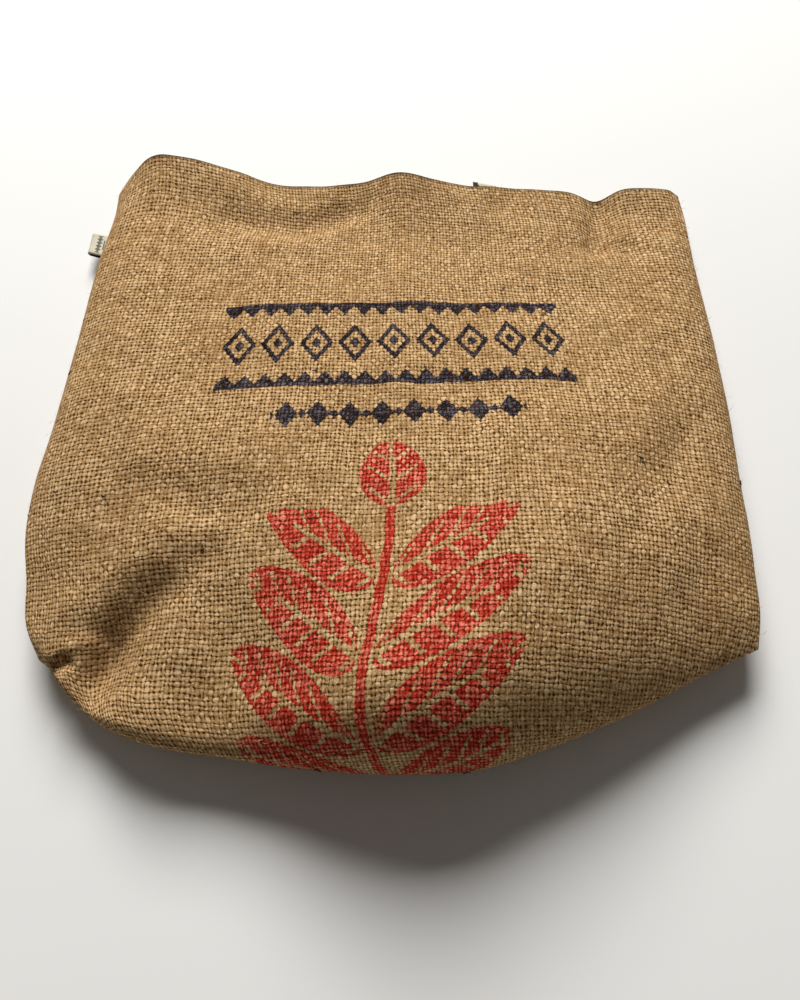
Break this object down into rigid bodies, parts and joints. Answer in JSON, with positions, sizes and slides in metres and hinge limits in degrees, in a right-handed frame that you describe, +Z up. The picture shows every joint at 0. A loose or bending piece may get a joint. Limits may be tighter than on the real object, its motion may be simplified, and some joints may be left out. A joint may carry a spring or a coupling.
{
  "type": "burlap bag",
  "caption": "Jute hessian bag lying on its back: thin open mouth with a soft hem, bulged boxed bottom, small cream label in the side seam.",
  "frame": {"origin": "middle of the whole part's box seen from above, on the surface that the bag lies on", "axes": "+Z up from the surface, +Y from the bottom end towards the mouth, +X to the right seen from the bottom end"},
  "size_m": [0.4316, 0.4282, 0.0821],
  "materials": {
    "jute": "coarse plain weave, matt",
    "cream_tape": "woven tape, matt"
  },
  "bodies": {
    "root": {"bag_body": "jute", "side_label": "cream_tape", "mouth_tab": "cream_tape"}
  },
  "joints": []
}
